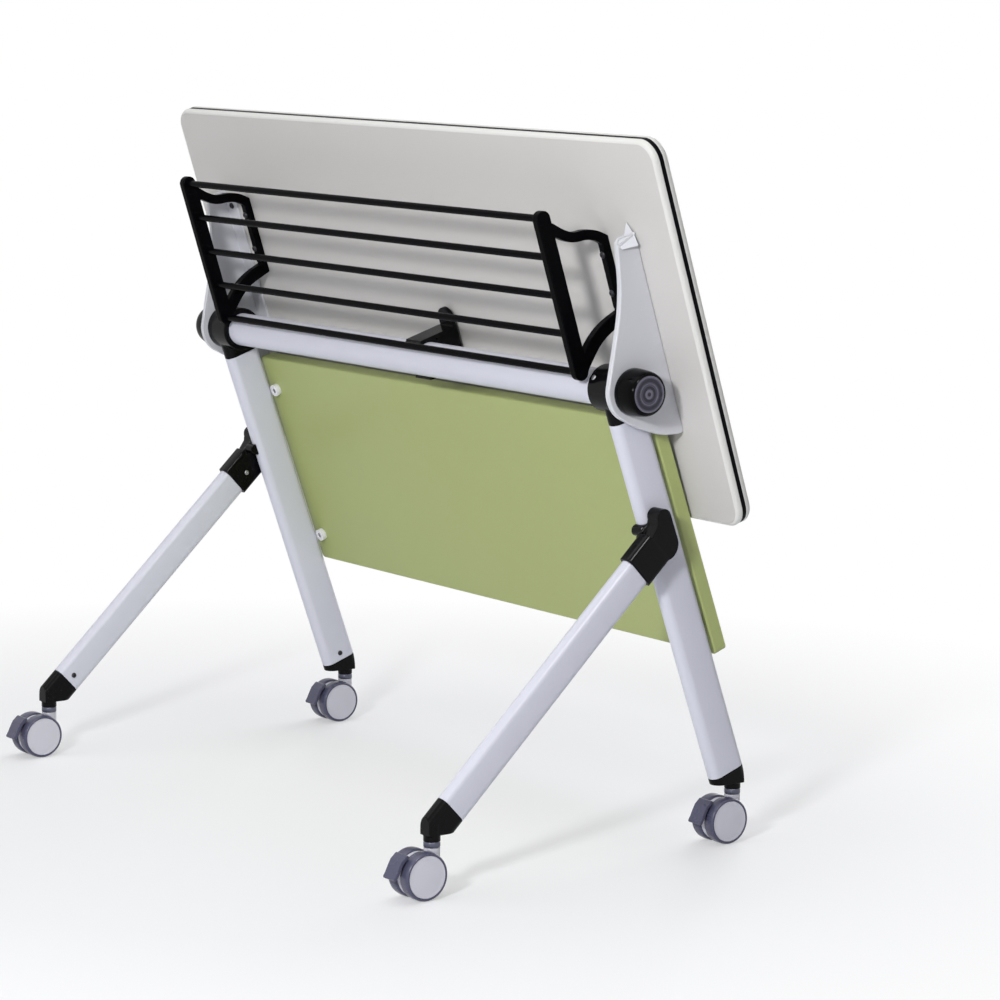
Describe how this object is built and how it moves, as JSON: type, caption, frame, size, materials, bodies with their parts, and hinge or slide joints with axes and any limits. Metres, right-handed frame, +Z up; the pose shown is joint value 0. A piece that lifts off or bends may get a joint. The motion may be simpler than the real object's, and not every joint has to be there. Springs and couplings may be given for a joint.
{
  "type": "flip top training table",
  "caption": "Training table on casters with a tilting top folded up for nesting, slanted oval legs, a wire book rack and a sheet modesty panel.",
  "frame": {"origin": "on the floor, in the middle of the folded table's outline", "axes": "+X along the top, +Z up, -Y towards the user's side, where the rack and the front legs are"},
  "size_m": [1.2, 0.6107, 0.9898],
  "materials": {
    "frame_paint": "smooth satin powder coat",
    "black_satin": "moulded, satin with a fine grain",
    "rack_black": "black satin coating",
    "rod_black": "black satin coating",
    "screw_steel": "zinc plated",
    "stem_steel": "dark plated",
    "panel_green": "satin powder coat",
    "spacer_white": "moulded, smooth",
    "board_laminate": "melamine laminate, very fine orange peel",
    "edge_white": "soft smooth edging",
    "edge_black": "soft smooth edging",
    "knob_black": "gloss",
    "knob_face_grey": "satin, ringed",
    "housing_light": "moulded, satin",
    "brake_grey": "moulded, satin",
    "wheel_grey": "moulded, satin",
    "disc_light": "moulded, satin"
  },
  "bodies": {
    "frame": {"main_leg_left": "frame_paint", "main_leg_right": "frame_paint", "front_leg_left": "frame_paint", "front_leg_right": "frame_paint", "leg_joint_left": "black_satin", "leg_joint_right": "black_satin", "hub_left": "black_satin", "hub_right": "black_satin", "front_feet": "black_satin", "rear_feet": "black_satin", "leg_screws": "screw_steel", "modesty_panel": "panel_green", "panel_spacers": "spacer_white", "panel_screws": "screw_steel", "caster_stems": "stem_steel"},
    "top": {"top_board": "board_laminate", "edge_band": "edge_white", "edge_stripe": "edge_black", "bracket_left": "frame_paint", "bracket_right": "frame_paint", "top_screws": "stem_steel", "pivot_shafts": "screw_steel", "knobs": "knob_black", "knob_faces": "knob_face_grey", "rack_side_left": "rack_black", "rack_side_right": "rack_black", "rack_rods": "rod_black"},
    "release": {"cross_beam": "frame_paint", "beam_plugs": "black_satin", "flip_handle": "black_satin"},
    "latch_left": {"latch_pin_left": "screw_steel"},
    "latch_right": {"latch_pin_right": "screw_steel"},
    "caster_fl": {"housing_fl": "housing_light", "axle_fl": "screw_steel"},
    "brake_fl": {"brake_fl": "brake_grey"},
    "wheel_fl_in": {"wheel_fl_in": "wheel_grey", "disc_fl_in": "disc_light"},
    "wheel_fl_out": {"wheel_fl_out": "wheel_grey", "disc_fl_out": "disc_light"},
    "caster_fr": {"housing_fr": "housing_light", "axle_fr": "screw_steel"},
    "brake_fr": {"brake_fr": "brake_grey"},
    "wheel_fr_in": {"wheel_fr_in": "wheel_grey", "disc_fr_in": "disc_light"},
    "wheel_fr_out": {"wheel_fr_out": "wheel_grey", "disc_fr_out": "disc_light"},
    "caster_rl": {"housing_rl": "housing_light", "axle_rl": "screw_steel"},
    "brake_rl": {"brake_rl": "brake_grey"},
    "wheel_rl_in": {"wheel_rl_in": "wheel_grey", "disc_rl_in": "disc_light"},
    "wheel_rl_out": {"wheel_rl_out": "wheel_grey", "disc_rl_out": "disc_light"},
    "caster_rr": {"housing_rr": "housing_light", "axle_rr": "screw_steel"},
    "brake_rr": {"brake_rr": "brake_grey"},
    "wheel_rr_in": {"wheel_rr_in": "wheel_grey", "disc_rr_in": "disc_light"},
    "wheel_rr_out": {"wheel_rr_out": "wheel_grey", "disc_rr_out": "disc_light"}
  },
  "joints": [
    {"name": "top_flip", "type": "hinge", "parent": "frame", "child": "top", "pos_m": [0, 0.07991, 0.647], "axis": [1, 0, 0], "range_deg": [0, 72]},
    {"name": "release_handle", "type": "hinge", "parent": "top", "child": "release", "pos_m": [0, 0.07991, 0.647], "axis": [1, 0, 0], "range_deg": [0, 18], "stiffness_Nm_per_rad": 2, "springref_deg": -20.05},
    {"name": "latch_left_slide", "type": "slide", "parent": "top", "child": "latch_left", "axis": [-1, 0, 0], "range_m": [0, 0.005]},
    {"name": "latch_right_slide", "type": "slide", "parent": "top", "child": "latch_right", "axis": [1, 0, 0], "range_m": [0, 0.005]},
    {"name": "swivel_fl", "type": "hinge", "parent": "frame", "child": "caster_fl", "pos_m": [-0.517, -0.237, 0.066], "axis": [0, 0, 1], "continuous": true},
    {"name": "brake_fl_press", "type": "hinge", "parent": "caster_fl", "child": "brake_fl", "pos_m": [-0.517, -0.27655, 0.0494], "axis": [1, 0, 0], "range_deg": [0, 14]},
    {"name": "wheel_fl_in_spin", "type": "hinge", "parent": "caster_fl", "child": "wheel_fl_in", "pos_m": [-0.503, -0.259, 0.0325], "axis": [1, 0, 0], "continuous": true},
    {"name": "wheel_fl_out_spin", "type": "hinge", "parent": "caster_fl", "child": "wheel_fl_out", "pos_m": [-0.531, -0.259, 0.0325], "axis": [1, 0, 0], "continuous": true},
    {"name": "swivel_fr", "type": "hinge", "parent": "frame", "child": "caster_fr", "pos_m": [0.517, -0.237, 0.066], "axis": [0, 0, 1], "continuous": true},
    {"name": "brake_fr_press", "type": "hinge", "parent": "caster_fr", "child": "brake_fr", "pos_m": [0.517, -0.27655, 0.0494], "axis": [1, 0, 0], "range_deg": [0, 14]},
    {"name": "wheel_fr_in_spin", "type": "hinge", "parent": "caster_fr", "child": "wheel_fr_in", "pos_m": [0.503, -0.259, 0.0325], "axis": [1, 0, 0], "continuous": true},
    {"name": "wheel_fr_out_spin", "type": "hinge", "parent": "caster_fr", "child": "wheel_fr_out", "pos_m": [0.531, -0.259, 0.0325], "axis": [1, 0, 0], "continuous": true},
    {"name": "swivel_rl", "type": "hinge", "parent": "frame", "child": "caster_rl", "pos_m": [-0.492, 0.293, 0.066], "axis": [0, 0, 1], "continuous": true},
    {"name": "brake_rl_press", "type": "hinge", "parent": "caster_rl", "child": "brake_rl", "pos_m": [-0.492, 0.25345, 0.0494], "axis": [1, 0, 0], "range_deg": [0, 14]},
    {"name": "wheel_rl_in_spin", "type": "hinge", "parent": "caster_rl", "child": "wheel_rl_in", "pos_m": [-0.478, 0.271, 0.0325], "axis": [1, 0, 0], "continuous": true},
    {"name": "wheel_rl_out_spin", "type": "hinge", "parent": "caster_rl", "child": "wheel_rl_out", "pos_m": [-0.506, 0.271, 0.0325], "axis": [1, 0, 0], "continuous": true},
    {"name": "swivel_rr", "type": "hinge", "parent": "frame", "child": "caster_rr", "pos_m": [0.492, 0.293, 0.066], "axis": [0, 0, 1], "continuous": true},
    {"name": "brake_rr_press", "type": "hinge", "parent": "caster_rr", "child": "brake_rr", "pos_m": [0.492, 0.25345, 0.0494], "axis": [1, 0, 0], "range_deg": [0, 14]},
    {"name": "wheel_rr_in_spin", "type": "hinge", "parent": "caster_rr", "child": "wheel_rr_in", "pos_m": [0.478, 0.271, 0.0325], "axis": [1, 0, 0], "continuous": true},
    {"name": "wheel_rr_out_spin", "type": "hinge", "parent": "caster_rr", "child": "wheel_rr_out", "pos_m": [0.506, 0.271, 0.0325], "axis": [1, 0, 0], "continuous": true}
  ],
  "couplings": [
    {"joint": "latch_left_slide", "follows": "release_handle", "m_per_rad": 0.0159},
    {"joint": "latch_right_slide", "follows": "release_handle", "m_per_rad": 0.0159}
  ]
}
